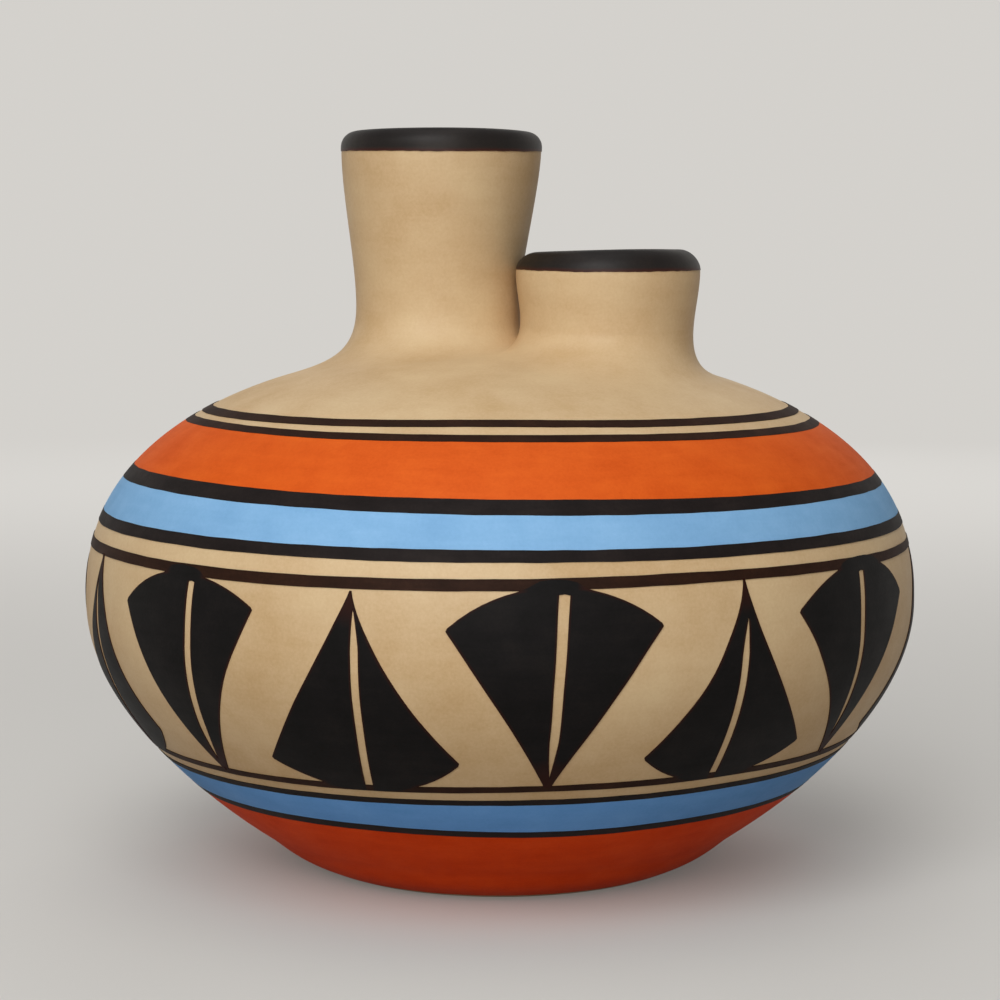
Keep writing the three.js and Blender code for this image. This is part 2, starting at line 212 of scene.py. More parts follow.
def sheet(columns, rows, place, mark=None):
    """A grid whose corner (column, row) is moved to place(column, row); columns run round, rows upwards.

    mark(column, row) says how near a corner is to the border of the brushwork, from 0 to 1.
    """
    bm = bmesh.new()
    bmesh.ops.create_grid(bm, x_segments=columns, y_segments=rows, size=1)
    border = bm.verts.layers.float.new("brush_edge") if mark else None
    for vert in bm.verts:
        across, up = ((c + 1) / 2 for c in vert.co.xy)
        column, row = round(across * columns), round(up * rows)
        vert.co = place(column, row)
        if mark:
            vert[border] = mark(column, row)
    bmesh.ops.remove_doubles(bm, verts=bm.verts, dist=MERGE)
    return bm


def add_piece(name, bm, material, slot, *nodes, thickness=0.0):
    """Turns a bmesh into a piece of the vase, given thickness inwards if it is a coat."""
    if thickness:
        bmesh.ops.solidify(bm, geom=bm.faces[:], thickness=thickness * MM)
    mesh = bpy.data.meshes.new(name)
    bm.to_mesh(mesh)
    bm.free()
    mesh.shade_smooth()
    mesh.set_sharp_from_angle(angle=SHARP_ANGLE)
    mesh.materials.append(material)
    piece = bpy.data.objects.new(name, mesh)
    bpy.context.collection.objects.link(piece)
    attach(piece, "root")
    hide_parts(*nodes)
    return piece


def steps_between(start, end, spacing):
    """Even steps along the wall, with a hair's breadth at each end so that shading runs on over a seam."""
    count = max(2, round((end - start) / spacing))
    inner = [mix(start, end, i / count) for i in range(1, count)]
    return [start, start + HAIR, *inner, end - HAIR, end]


# Materials

# Sockets of a Mix node that mixes colours, which share their names with those for numbers
MIX_SHARE, MIX_FROM, MIX_TO, MIX_RESULT = 0, 6, 7, 2
# Brush marks run round the vase: they are stretched level, and close together upwards
BRUSH_STRETCH = (0.12, 0.12, 1.0)
# Spacing of the clay's speckle, and its share in the colour
SPECKLE = 0.7
SPECKLE_SHARE = 0.22
# Where the layered noise counts as a thin, a middling and a thick coat, and how much glossier a thick coat is
THIN_COAT, MIDDLE_COAT, THICK_COAT = 0.36, 0.5, 0.64
GLOSS_LOW, GLOSS_HIGH = 0.3, 0.7
GLOSS_SPREAD = 0.06


def add_node(tree, kind, sockets=None, **settings):
    """Adds a node; sockets are input values or the outputs linked to them, settings its own properties."""
    node = tree.nodes.new(kind)
    for name, value in settings.items():
        setattr(node, name, value)
    for name, value in (sockets or {}).items():
        if isinstance(value, bpy.types.NodeSocket):
            tree.links.new(value, node.inputs[name])
        else:
            node.inputs[name].default_value = value
    return node


def fired_slip(name, shades, streak, streaky, mottle, roughness, grit, sheen, edge=None):
    """A brushed coat of slip or burnished clay.

    shades are three hex colours from thin to thick; streak and mottle are the spacings of the brush marks and
    of the cloudy patches in millimetres, and streaky the marks' share; grit is the bump's depth in
    millimetres; sheen is the level of the mirror light; edge is the hex colour that shows where the brush
    left a thinner border.
    """
    material = bpy.data.materials.new(name)
    material.use_nodes = True
    tree = material.node_tree
    shader = tree.nodes["Principled BSDF"]
    shader.inputs["Specular IOR Level"].default_value = sheen
    place = add_node(tree, "ShaderNodeTexCoord").outputs["Object"]
    brushed = add_node(
        tree, "ShaderNodeMapping", {"Vector": place, "Scale": BRUSH_STRETCH}, vector_type="POINT"
    ).outputs["Vector"]
    marks = add_node(
        tree, "ShaderNodeTexNoise",
        {"Vector": brushed, "Scale": 1 / (streak * MM), "Detail": 4.0, "Roughness": 0.6, "Distortion": 0.3},
    ).outputs["Fac"]
    clouds = add_node(
        tree, "ShaderNodeTexNoise",
        {"Vector": place, "Scale": 1 / (mottle * MM), "Detail": 5.0, "Roughness": 0.62},
    ).outputs["Fac"]
    speckle = add_node(
        tree, "ShaderNodeTexNoise",
        {"Vector": place, "Scale": 1 / (SPECKLE * MM), "Detail": 2.0, "Roughness": 0.7},
    ).outputs["Fac"]
    layers = add_node(
        tree, "ShaderNodeMix", {"Factor": streaky, "A": clouds, "B": marks}, data_type="FLOAT"
    ).outputs["Result"]
    layers = add_node(
        tree, "ShaderNodeMix", {"Factor": SPECKLE_SHARE, "A": layers, "B": speckle}, data_type="FLOAT"
    ).outputs["Result"]
    ramp = add_node(tree, "ShaderNodeValToRGB", {"Fac": layers})
    thin, thick = ramp.color_ramp.elements
    thin.position, thick.position = THIN_COAT, THICK_COAT
    thin.color, thick.color = linear(shades[0]), linear(shades[2])
    ramp.color_ramp.elements.new(MIDDLE_COAT).color = linear(shades[1])
    colour = ramp.outputs["Color"]
    if edge:
        border = add_node(tree, "ShaderNodeAttribute", attribute_name="brush_edge").outputs["Fac"]
        sockets = {MIX_SHARE: border, MIX_FROM: colour, MIX_TO: linear(edge)}
        colour = add_node(tree, "ShaderNodeMix", sockets, data_type="RGBA").outputs[MIX_RESULT]
    tree.links.new(colour, shader.inputs["Base Color"])
    gloss = add_node(
        tree, "ShaderNodeMapRange",
        {
            "Value": layers, "From Min": GLOSS_LOW, "From Max": GLOSS_HIGH,
            "To Min": roughness + GLOSS_SPREAD, "To Max": roughness - GLOSS_SPREAD,
        },
    ).outputs["Result"]
    tree.links.new(gloss, shader.inputs["Roughness"])
    relief = add_node(
        tree, "ShaderNodeMix", {"Factor": 0.5, "A": speckle, "B": marks}, data_type="FLOAT"
    ).outputs["Result"]
    bump = add_node(tree, "ShaderNodeBump", {"Height": relief, "Strength": 1.0, "Distance": grit * MM})
    tree.links.new(bump.outputs["Normal"], shader.inputs["Normal"])
    return material


# Burnished earthenware: rubbed smooth while leathery, so it is a soft tan with a faint low sheen
TAN_CLAY = fired_slip(
    "burnished_tan_earthenware", ["#c2a276", "#cdb087", "#d5bb92"],
    streak=3.0, streaky=0.2, mottle=26, roughness=0.52, grit=0.05, sheen=0.3,
)
# Orange iron slip, brushed on in two coats: nearly matt, with faint strokes, brighter where it lies thick
ORANGE_SLIP = fired_slip(
    "brushed_orange_slip", ["#cc500c", "#d55812", "#dc6016"],
    streak=2.2, streaky=0.4, mottle=9, roughness=0.62, grit=0.05, sheen=0.15,
)
# Sky blue slip, chalky and nearly even
BLUE_SLIP = fired_slip(
    "brushed_blue_slip", ["#78a8d3", "#80b0da", "#88b7e0"],
    streak=2.4, streaky=0.4, mottle=12, roughness=0.62, grit=0.04, sheen=0.15,
)
# Brown slip of the lines, drawn with a loaded brush, so it is dark and dull
BROWN_SLIP = fired_slip(
    "drawn_brown_slip", ["#1f0f07", "#28150b", "#321c10"],
    streak=1.6, streaky=0.4, mottle=8, roughness=0.62, grit=0.05, sheen=0.1,
)
# Black slip of the fans, matt, with a reddish border where the brush ran dry
BLACK_SLIP = fired_slip(
    "brushed_black_slip", ["#0d0c0b", "#121010", "#181514"],
    streak=2.0, streaky=0.3, mottle=10, roughness=0.58, grit=0.05, sheen=0.09, edge="#2c120b",
)
# Painted shade: the orange and blue slips again, redder and deeper at the foot to stand in for the shade
# under the belly; and the brown slip laid on thicker, so that the lines along the blue are blacker
ORANGE_WITH_FOOT_SHADE = fired_slip(
    "orange_slip_painted_foot_shade", ["#db3e02", "#e44607", "#ec4e0c"],
    streak=2.2, streaky=0.4, mottle=9, roughness=0.62, grit=0.05, sheen=0.1,
)
# Painted shade: the blue slip again, deeper and more saturated for the shaded foot
BLUE_WITH_FOOT_SHADE = fired_slip(
    "blue_slip_painted_foot_shade", ["#639ee2", "#6ba6ea", "#73aef0"],
    streak=2.4, streaky=0.4, mottle=12, roughness=0.62, grit=0.04, sheen=0.12,
)
THICK_BROWN = fired_slip(
    "thick_brown_slip", ["#15100f", "#1c1615", "#241d1b"],
    streak=1.6, streaky=0.4, mottle=8, roughness=0.62, grit=0.05, sheen=0.1,
)
# The same black slip rubbed long on the lips, so that it is a warm black with a soft sheen
RIM_BLACK = fired_slip(
    "burnished_black_slip", ["#161210", "#1c1715", "#241e1a"],
    streak=2.0, streaky=0.3, mottle=10, roughness=0.45, grit=0.05, sheen=0.2, edge="#3a170d",
)


# Clay pieces

BODY_COLUMNS = 256
WALL_SPACING = 1.8
INSIDE_SPACING = 4
INSIDE_START = 0.3
FOOT_GAP = 0.02
FOOT_RINGS = 8
FOOT_EDGE = 0.6
FOOT_TURN_OUT = 0.2
FOOT_TURN_UP = 0.1
HOLE_COLUMNS = 96
HOLE_DEPTH = 60


def revolved(section):
    """A closed ring of clay; section is (along, lift), up the outside and back down the inside."""
    section = section + section[:1]

    def place(column, row):
        along, lift = section[row]
        return on_wall(along, 2 * pi * column / BODY_COLUMNS, lift)

    return sheet(BODY_COLUMNS, len(section) - 1, place)


def wall_section(start, end):
    """The section of a ring of wall between two seams, which slope down towards the inside."""
    low, high = max(FOOT_END + INSIDE_START, start - SCARF), min(CROWN_END, end - SCARF)
    outside = steps_between(start, end, WALL_SPACING)
    inside = steps_between(low, high, INSIDE_SPACING)
    return [(a, 0.0) for a in outside] + [(a, -WALL) for a in reversed(inside)]


def foot_disc():
    """The slab that the vase stands on: underside, edge along the wall, and the floor of the inside."""
    radius, _, out, up = wall(FOOT_END)
    inside_radius, thickness = radius - WALL * out, abs(WALL * up)
    profile = [(radius * i / FOOT_RINGS, 0.0) for i in range(FOOT_RINGS)]
    profile += [(radius - FOOT_EDGE, 0.0), (radius, 0.0)]
    profile += [(radius + FOOT_TURN_OUT, FOOT_TURN_UP), (inside_radius, thickness)]
    profile += [(inside_radius * i / FOOT_RINGS, thickness) for i in range(FOOT_RINGS - 1, -1, -1)]
    return profile


def spun(profile, columns):
    """A profile of (radius, height) turned round the vase's axis."""

    def place(column, row):
        angle = 2 * pi * column / columns
        radius, height = profile[row]
        return Vector((radius * sin(angle), -radius * cos(angle), height)) * MM

    return sheet(columns, len(profile) - 1, place)


def cut_holes(piece):
    """Opens the dome under each spout."""
    cutters = []
    for spout in (TALL, SHORT):
        bm = bmesh.new()
        radius = spout["bore"] * MM
        bmesh.ops.create_cone(
            bm, cap_ends=True, segments=HOLE_COLUMNS, radius1=radius, radius2=radius, depth=HOLE_DEPTH * MM
        )
        bmesh.ops.translate(bm, verts=bm.verts, vec=Vector((spout["x"], 0, CROWN)) * MM)
        mesh = bpy.data.meshes.new("hole")
        bm.to_mesh(mesh)
        bm.free()
        cutter = bpy.data.objects.new("hole", mesh)
        bpy.context.collection.objects.link(cutter)
        hole = piece.modifiers.new("spout_hole", "BOOLEAN")
        hole.object = cutter
        hole.solver = "EXACT"
        cutters.append(cutter)
    graph = bpy.context.evaluated_depsgraph_get()
    opened = bpy.data.meshes.new_from_object(piece.evaluated_get(graph))
    piece.modifiers.clear()
    piece.data = opened
    for cutter in cutters:
        bpy.data.objects.remove(cutter)
    opened.set_sharp_from_angle(angle=SHARP_ANGLE)


def add_body():
    add_piece("foot_slab_clay", spun(foot_disc(), BODY_COLUMNS), TAN_CLAY, "tan_clay", "foot_slab")
    rings = {}
    for name, start, end in (
        ("lower_bowl", FOOT_END + FOOT_GAP, BELLY_SEAM),
        ("shoulder_wall", BELLY_SEAM, DOME_SEAM),
        ("shoulder_dome", DOME_SEAM, CROWN_END),
    ):
        bm = revolved(wall_section(start, end))
        rings[name] = add_piece(name + "_clay", bm, TAN_CLAY, "tan_clay", name)
    cut_holes(rings["shoulder_dome"])


# Spouts

SPOUT_COLUMNS = 168
SKIRT_STEPS = 60
SKIRT_ROWS, NECK_ROWS, LIP_ROWS, LIP_INNER_ROWS, BORE_ROWS, SEAT_ROWS = 26, 26, 12, 7, 10, 10


def spaced(points, count):
    """The same line of points with count even steps."""
    lengths = [0.0]
    for a, b in zip(points, points[1:]):
        lengths.append(lengths[-1] + (b - a).length)
    result = []
    for step in range(count + 1):
        wanted = lengths[-1] * step / count
        i = min(max(bisect_right(lengths, wanted), 1), len(lengths) - 1)
        share = (wanted - lengths[i - 1]) / (lengths[i] - lengths[i - 1])
        result.append(points[i - 1].lerp(points[i], share))
    return result


def front_share(angle):
    """1 in front of and behind a spout as the camera sees it, and 0 at its sides."""
    return sin(angle - VIEW_ANGLE) ** 2


def facing_share(spout, angle):
    """1 on the side of a spout that faces the other one, and 0 from its middle on."""
    return max(0.0, spout["side"] * cos(angle)) ** 2


def waist_level(spout, angle):
    climb = spout["front_climb"] * front_share(angle) + spout["facing_climb"] * facing_share(spout, angle)
    return spout["waist_rise"] + climb


def around_spout(spout, angle, radius, level):
    """A place at a radius and level of a spout; angle runs from +X.

    The axis leans, the rim tilts a little and sags at its right end, and a web of clay fills the narrow gap
    between the necks.
    """
    web = max(0.0, 1 - ((level - WEB_LEVEL) / WEB_REACH) ** 2)
    radius += spout["web"] * facing_share(spout, angle) ** 2 * web
    across = radius * cos(angle)
    tilted = spout["tilt"] * across - spout["sag"] * max(0.0, across / spout["mouth"]) ** SAG_POWER
    tilted *= (max(0.0, level) / spout["rise"]) ** TILT_POWER
    return Vector((spout["x"] + spout["lean"] * level + across, radius * sin(angle), CROWN + level + tilted))


def dome_place(x, y, lift=0.0):
    return Vector((x, y, dome_height(x, y) + lift))


def skirt_line(spout, angle):
    """The skirt leaves the dome along the dome's slope and ends upright at the waist.

    It's short on the side that faces the other spout, and may be longer and softer in front and behind.
    """
    front = front_share(angle)
    run = spout["skirt"] * (1 - spout["hold"] * facing_share(spout, angle)) + spout["front_run"] * front
    fullness = SKIRT_FULLNESS - spout["front_soft"] * front
    reach = spout["waist"] + run
    towards = Vector((cos(angle), sin(angle)))
    foot = Vector((spout["x"], 0))
    edge = dome_place(*(foot + towards * reach), -SKIRT_SUNK)
    inwards = (dome_place(*(foot + towards * (reach - 1)), -SKIRT_SUNK) - edge).normalized()
    waist = around_spout(spout, angle, spout["waist"], waist_level(spout, angle))
    axis = Vector((spout["lean"], 0, 1)).normalized()
    return interpolate_bezier(
        edge,
        edge + inwards * fullness * run,
        waist + axis * fullness * (edge.z - waist.z),
        waist,
        SKIRT_STEPS + 1,
    )


def spout_outline(spout):
    """(radius, level) of the neck and of the lip's outer and inner rounding, as three runs of points."""
    pull = NECK_FULLNESS * (spout["rise"] - spout["waist_rise"])
    lip = spout["lip"]
    shoulder = spout["rise"] - lip
    neck = bezier(
        [
            (spout["waist"], spout["waist_rise"]),
            (spout["waist"], spout["waist_rise"] + pull),
            (spout["mouth"], shoulder - pull),
            (spout["mouth"], shoulder),
        ],
        NECK_ROWS,
    )
    crest = spout["mouth"] - lip
    outer, inner = [], []
    for i in range(LIP_ROWS + 1):
        turn = pi / 2 * i / LIP_ROWS
        outer.append((crest + lip * cos(turn), shoulder + lip * sin(turn)))
    for i in range(LIP_INNER_ROWS + 1):
        turn = pi / 2 * i / LIP_INNER_ROWS
        inner.append(
            (crest - LIP_INNER_ROUND * sin(turn), spout["rise"] - LIP_INNER_ROUND * (1 - cos(turn)))
        )
    return neck, outer, inner


def spout_column(spout, angle):
    """One closed slice of a spout: skirt, neck, lip, bore, and back out along the dome."""
    neck, outer, inner = spout_outline(spout)
    skirt = spaced(skirt_line(spout, angle), SKIRT_ROWS)
    start, end = neck[0][1], neck[-1][1]
    waist = waist_level(spout, angle)
    neck = [(radius, mix(waist, end, (level - start) / (end - start))) for radius, level in neck]
    above = [around_spout(spout, angle, *point) for point in neck[1:] + outer[1:] + inner[1:]]
    root = dome_place(spout["x"] + spout["bore"] * cos(angle), spout["bore"] * sin(angle), -2 * SKIRT_SUNK)
    bore = [above[-1].lerp(root, i / BORE_ROWS) for i in range(1, BORE_ROWS + 1)]
    seat = []
    for i in range(1, SEAT_ROWS + 1):
        under = root.lerp(skirt[0], i / SEAT_ROWS)
        seat.append(dome_place(under.x, under.y, -2 * SKIRT_SUNK))
    return skirt + above + bore + seat + skirt[:1]


def add_spout(name, spout):
    columns = [spout_column(spout, 2 * pi * i / SPOUT_COLUMNS) for i in range(SPOUT_COLUMNS)]
    rows = len(columns[0]) - 1
    bm = sheet(SPOUT_COLUMNS, rows, lambda column, row: columns[column % SPOUT_COLUMNS][row] * MM)
    add_piece(name + "_clay", bm, TAN_CLAY, "tan_clay", name)


# Slip coats

COAT_CLEAR = 0.02
BAND_LIFT = 0.12
LINE_LIFT = 0.17
FAN_LIFT = 0.2
COAT_COLUMNS = 360
STRIP_SPACING = 0.9
STRAY_STEP = 30

# Each drawn line: its middle along the wall, its width, and how far it strays up the wall at every STRAY_STEP
# degrees across the front, from the left edge to the right
LINES = {
    "shoulder_upper_line": (59.6, 2.95, (0.0, 0.1, -0.1, 0.7, -0.4, -0.7, -0.1)),
    "shoulder_lower_line": (53.95, 2.6, (0.7, 1.0, 0.2, 0.2, -0.5, -1.0, -0.5)),
    "blue_orange_line": (33.45, 4.0, (1.4, 1.5, 0.6, -0.1, -0.8, -1.0, -0.9)),
    "blue_lower_line": (21.8, 2.85, (0.6, 0.4, 0.2, 0.0, -0.2, -0.3, -0.3)),
    "fan_upper_line": (15.7, 2.5, (0.2, 0.1, -0.3, 0.0, 0.4, -0.2, -0.1)),
    "fan_lower_line": (-34.1, 1.95, (-1.2, -1.4, -1.1, 0.1, 0.8, 0.6, 0.7)),
    "base_blue_upper_line": (-38.7, 1.8, (-1.2, -1.4, -0.8, 0.0, 0.5, 0.8, 0.6)),
    "base_line": (-51.3, 2.5, (0.2, 0.2, 0.4, -0.4, 0.0, 0.3, 0.2)),
}
# How much thinner some lines become at the right edge, as a share of their width
THINNER = {"blue_orange_line": 0.3, "fan_upper_line": 0.18}
THICK_LINES = ("blue_orange_line", "blue_lower_line", "base_blue_upper_line", "base_line")
# Each broad band, the two lines that it runs between, its slot and its slip
BANDS = (
    ("orange_shoulder_band", "blue_orange_line", "shoulder_lower_line", "orange_slip", ORANGE_SLIP),
    ("blue_shoulder_band", "blue_lower_line", "blue_orange_line", "blue_slip", BLUE_SLIP),
    # The base band takes the blue slip with painted shade for the foot
    ("base_blue_band", "base_line", "base_blue_upper_line", "blue_slip", BLUE_WITH_FOOT_SHADE),
)
FOOT_MARGIN = 2.5

# The hand's trembling: a slow wander with a quick shiver on it, different for each seed
WANDER_REACH = 2.2
SEED_APART = 7.3
SHIVER_PACE = 6.5
SHIVER_SHARE = 0.6
LINE_TREMBLE = 0.18
LINE_SIDE_SEED = 0.2
FOOT_TREMBLE = 0.3
FOOT_SEED = 1.3


def hand_wobble(angle, seed, depth):
    """How far a hand-drawn edge trembles along the wall, in millimetres, the same after a full turn."""
    round_vase = Vector((WANDER_REACH * sin(angle), WANDER_REACH * cos(angle), seed * SEED_APART))
    return depth * (noise.noise(round_vase) + SHIVER_SHARE * noise.noise(round_vase * SHIVER_PACE))


def line_middle(name, angle):
    """Where a drawn line runs along the wall at an angle.

    It follows a smooth curve through its strays, and returns to its level at the back.
    """
    middle, _, strays = LINES[name]
    knots = [0.0, 0.0, strays[0] / 2, *strays, strays[-1] / 2, 0.0]
    place = (degrees(angle - VIEW_ANGLE) + 180) % 360 / STRAY_STEP
    first = int(place)
    share = place - first
    a, b, c, d = (knots[(first + i) % len(knots)] for i in (-1, 0, 1, 2))
    bend = 2 * a - 5 * b + 4 * c - d + share * (3 * (b - c) + d - a)
    return middle + b + share / 2 * (c - a + share * bend)


def line_edge(name, angle, side):
    """The upper (side 1) or lower (side -1) edge of a drawn line, as a distance along the wall."""
    middle, width, _ = LINES[name]
    width *= 1 - THINNER.get(name, 0.0) * max(0.0, sin(angle - VIEW_ANGLE)) ** 2
    tremble = hand_wobble(angle, middle + side * LINE_SIDE_SEED, LINE_TREMBLE)
    return line_middle(name, angle) + side * (width / 2 + tremble)


def add_strip(node, low, high, slot, slip, lift):
    """A painted strip between two edges, each a function of the angle."""
    quarter = pi / 2
    rows = max(3, round((high(quarter) - low(quarter)) / STRIP_SPACING))

    def place(column, row):
        angle = 2 * pi * column / COAT_COLUMNS
        return on_wall(mix(low(angle), high(angle), row / rows), angle, lift)

    bm = sheet(COAT_COLUMNS, rows, place)
    add_piece(node + "_slip", bm, slip, slot, node, thickness=lift - COAT_CLEAR)


def foot_edge(angle):
    """The lower edge of the orange at the foot, as a distance along the wall."""
    return FOOT_END + FOOT_MARGIN + hand_wobble(angle, FOOT_SEED, FOOT_TREMBLE)


def add_bands():
    for name in LINES:
        low, high = partial(line_edge, name, side=-1), partial(line_edge, name, side=1)
        slip = THICK_BROWN if name in THICK_LINES else BROWN_SLIP
        add_strip(name, low, high, "brown_slip", slip, LINE_LIFT)
    for node, below, above, slot, slip in BANDS:
        add_strip(node, partial(line_middle, below), partial(line_middle, above), slot, slip, BAND_LIFT)
    base_edge = partial(line_middle, "base_line")
    # The base coat takes the orange slip with painted shade for the foot
    add_strip("orange_base_coat", foot_edge, base_edge, "orange_slip", ORANGE_WITH_FOOT_SHADE, BAND_LIFT)


# Fans, drawn flat with x across and height up, then laid on the wall

FAN_COUNT = 14
FAN_COLUMNS = 12
FAN_ROWS = 34
# The rhythm: where the first point is, how the points drift, and how far out and how high the corners are
FAN_START = 24.9
FAN_DRIFT = 3.3
CORNER_TURN = 13.0
UPRIGHT_CORNER = 72.4
TURNED_CORNER = 41.8
# How hollow the sides are, half of the point's width, and how far the point runs over its line
UPRIGHT_HOLLOW = 1.07
TURNED_HOLLOW = 1.25
UPRIGHT_TIP = 0.75
TURNED_TIP = 0.25
TIP_BITE = 0.4
# How far the wide end's middle is above the edge of its line; the line is covered there, all but a margin
UPRIGHT_BITE = 0.65
TURNED_BITE = -1.5
DEEP_BITES = {3: 1.4}
BITE_SOFT = 0.2
LINE_MARGIN = 0.1
# The bare rib: its start from the point, half of its width, how it widens from there, and how far its end is
# from the wide end's middle
RIB_START = 4.5
RIB = 0.9
RIB_TAPER = 8
RIB_TAPER_POWER = 0.7
RIB_END = 1.7
RIB_SQUARE = 0.2
# The reddish border's width, how far it spreads from the point, and the rounding of the corners
BORDER = 0.55
TIP_BORDER = 7
CORNER_ROUND = 0.2
# The hand's unevenness in a fan, steadier near its point
FAN_WOBBLE = 0.2
FAN_WOBBLE_SPREAD = 12
FAN_APART = 5.7
CLIMB_APART = 40
TIP_STEADY = 10
# How far the unseen fans sway from the rhythm, and the pace of it from fan to fan
POINT_SWAY, POINT_PACE = 0.8, 2.1
TURN_SWAY, TURN_PACE = 0.5, 2.9
HEIGHT_SWAY, HEIGHT_PACE = 0.6, 1.0
RIB_SWAY, RIB_PACE = 0.8, 2.3
RIB_END_SWAY, RIB_END_PACE = 0.9, 1.7
# Fans that stray from the rhythm: the point's angle and how far it runs over its line; the left and the right
# corner as (degrees from the point, height, how hollow the side is); the bare rib's start from the point,
# half of its width towards the point and at the wide end, and its sideways strays at the point, in the middle
# and at the wide end
STRAY_FANS = {
    1: (24.8, 0.4, (-13.15, 72.3, 1.08), (13.4, 72.5, 1.12), (3.2, 0.9, 1.2, (0.2, 0.8, 2.3))),
    2: (49.7, 0.3, (-12.4, 42.2, 1.35), (13.5, 42.2, 1.45), (8.5, 0.87, 0.95, (1.3, -0.6, -0.3))),
    3: (73.0, 0.4, (-14.8, 72.9, 1.0), (11.7, 72.4, 1.4), (4.2, 0.75, 1.15, (-0.3, -2.8, -1.3))),
    4: (97.0, 0.4, (-12.7, 40.5, 1.3), (13.0, 41.8, 1.2), (6.0, 0.9, 0.9, (0.0, 0.2, 0.4))),
    12: (-48.4, 0.4, (-13.0, 41.8, 1.3), (10.3, 41.4, 1.1), (5.0, 0.9, 1.0, (-1.2, -1.7, -2.0))),
    13: (-25.8, 0.4, (-12.15, 72.7, 1.0), (12.5, 74.6, 1.0), (2.8, 1.1, 0.97, (-0.9, 2.3, 3.5))),
    14: (0.0, -0.4, (-14.3, 40.5, 1.14), (13.1, 42.0, 1.25), (4.4, 0.9, 0.87, (0.6, 1.1, -0.6))),
}


def fan_plan(number):
    """A fan's point, corners and rib, as in STRAY_FANS."""
    if number in STRAY_FANS:
        return STRAY_FANS[number]
    around = 2 * pi * (number - 1) / FAN_COUNT
    angle = degrees(around) + FAN_START - FAN_DRIFT * sin(around) + POINT_SWAY * sin(number * POINT_PACE)
    upright = number % 2 == 1
    corner, hollow = (UPRIGHT_CORNER, UPRIGHT_HOLLOW) if upright else (TURNED_CORNER, TURNED_HOLLOW)
    wide = CORNER_TURN + TURN_SWAY * cos(number * TURN_PACE)
    left = (-wide, corner + HEIGHT_SWAY * sin(number * HEIGHT_PACE), hollow)
    right = (wide, corner, hollow)
    rib_strays = (0.0, RIB_SWAY * sin(number * RIB_PACE), RIB_END_SWAY * cos(number * RIB_END_PACE))
    return angle, TIP_BITE, left, right, (RIB_START, RIB, RIB, rib_strays)


def over_line(depth, bite, line):
    """How far a fan's wide end runs over the line it meets; it covers the line where it bites deepest."""
    return (LINES[line][1] - LINE_MARGIN) * (1 - (1 - min(1, depth / (bite + BITE_SOFT))) ** 2)


def fan_half(number, side):
    """One side of a fan, from its bare rib to its outer edge; side is 1 on the right."""
    upright = number % 2 == 1
    up = 1 if upright else -1
    angle, tip_bite, left, right, (rib_start, rib, rib_end_half, rib_strays) = fan_plan(number)
    centre = radians(angle)
    top_line, bottom_line = (partial(line_edge, name) for name in ("fan_upper_line", "fan_lower_line"))
    ceiling, floor = wall(top_line(centre, side=-1))[1], wall(bottom_line(centre, side=1))[1]
    tip = floor - tip_bite if upright else ceiling + tip_bite
    bite = DEEP_BITES.get(number, UPRIGHT_BITE)
    crest = ceiling + bite if upright else floor + TURNED_BITE
    tip_half = UPRIGHT_TIP if upright else TURNED_TIP
    corner_turn, corner, hollow = right if side > 0 else left
    length = abs(crest - tip)
    half_width = wall(along_at(corner))[0] * sin(radians(abs(corner_turn)))
    crown = abs(crest - corner)
    round_edge = (half_width ** 2 + crown ** 2) / (2 * crown)

    rib_end = length - RIB_END - (bite - UPRIGHT_BITE) if upright else length
    steps = [rib_end * i / FAN_ROWS for i in range(FAN_ROWS + 1)]
    if upright:
        steps += [rib_end + RIB_SQUARE, length - BORDER, length]
    else:
        steps[-1:] = [length - BORDER, length]
    last = len(steps) - 1

    def rib_stray(share):
        """How far the rib runs to the right of the fan's middle, on a smooth curve through its strays."""
        at_point, at_middle, at_end = rib_strays
        towards_ends = (at_point * (1 - share) - at_end * share) * (1 - 2 * share)
        return towards_ends + at_middle * 4 * share * (1 - share)

    def draw(column, row):
        """Flat place, and how near a border of the brushwork it is, from 0 to 1."""
        step = steps[row]
        share = step / length
        gap = mix(rib, rib_end_half, share) * clamp((step - rib_start) / RIB_TAPER) ** RIB_TAPER_POWER
        if upright and row > FAN_ROWS:
            gap = 0.0
        inner = side * rib_stray(share) * min(1, step / rib_start) + gap
        outer = tip_half * (1 - share) + half_width * share ** hollow
        width = outer - inner
        border = min(BORDER, width / 4)
        inside = mix(border, width - border, (column - 1) / (FAN_COLUMNS - 2))
        x = inner + (0 if column == 0 else width if column == FAN_COLUMNS else inside)
        reach = min(1, max(-1, x / outer)) * half_width
        climb = (length - round_edge + (round_edge ** 2 - reach ** 2) ** 0.5) * share
        on_line = climb > abs((ceiling if upright else floor) - tip)
        at_border = not on_line and (column == FAN_COLUMNS or row == last or (column == 0 and gap > 0))
        if column == FAN_COLUMNS and row == last:
            x -= CORNER_ROUND
            climb -= CORNER_ROUND
        near_tip = clamp(1 - step / TIP_BORDER) ** 0.5
        return side * x, climb, 1.0 if at_border else near_tip

    def place(column, row):
        x, climb, _ = draw(column, row)
        spot = Vector((x / FAN_WOBBLE_SPREAD, climb / FAN_WOBBLE_SPREAD, number * FAN_APART))
        x += FAN_WOBBLE * noise.noise(spot)
        climb += FAN_WOBBLE * noise.noise(spot + Vector((CLIMB_APART, 0, 0))) * min(1, climb / TIP_STEADY)
        height = tip + up * climb
        along = along_at(height)
        turn = centre + asin(x / wall(along)[0])
        if upright and height > ceiling:
            covered = over_line(height - ceiling, bite, "fan_upper_line")
            along = top_line(turn, side=-1) + covered
        elif not upright and height < floor:
            covered = over_line(floor - height, -TURNED_BITE, "fan_lower_line")
            along = bottom_line(turn, side=1) - covered
        return on_wall(along, turn, FAN_LIFT)

    return sheet(FAN_COLUMNS, last, place, lambda column, row: draw(column, row)[2])


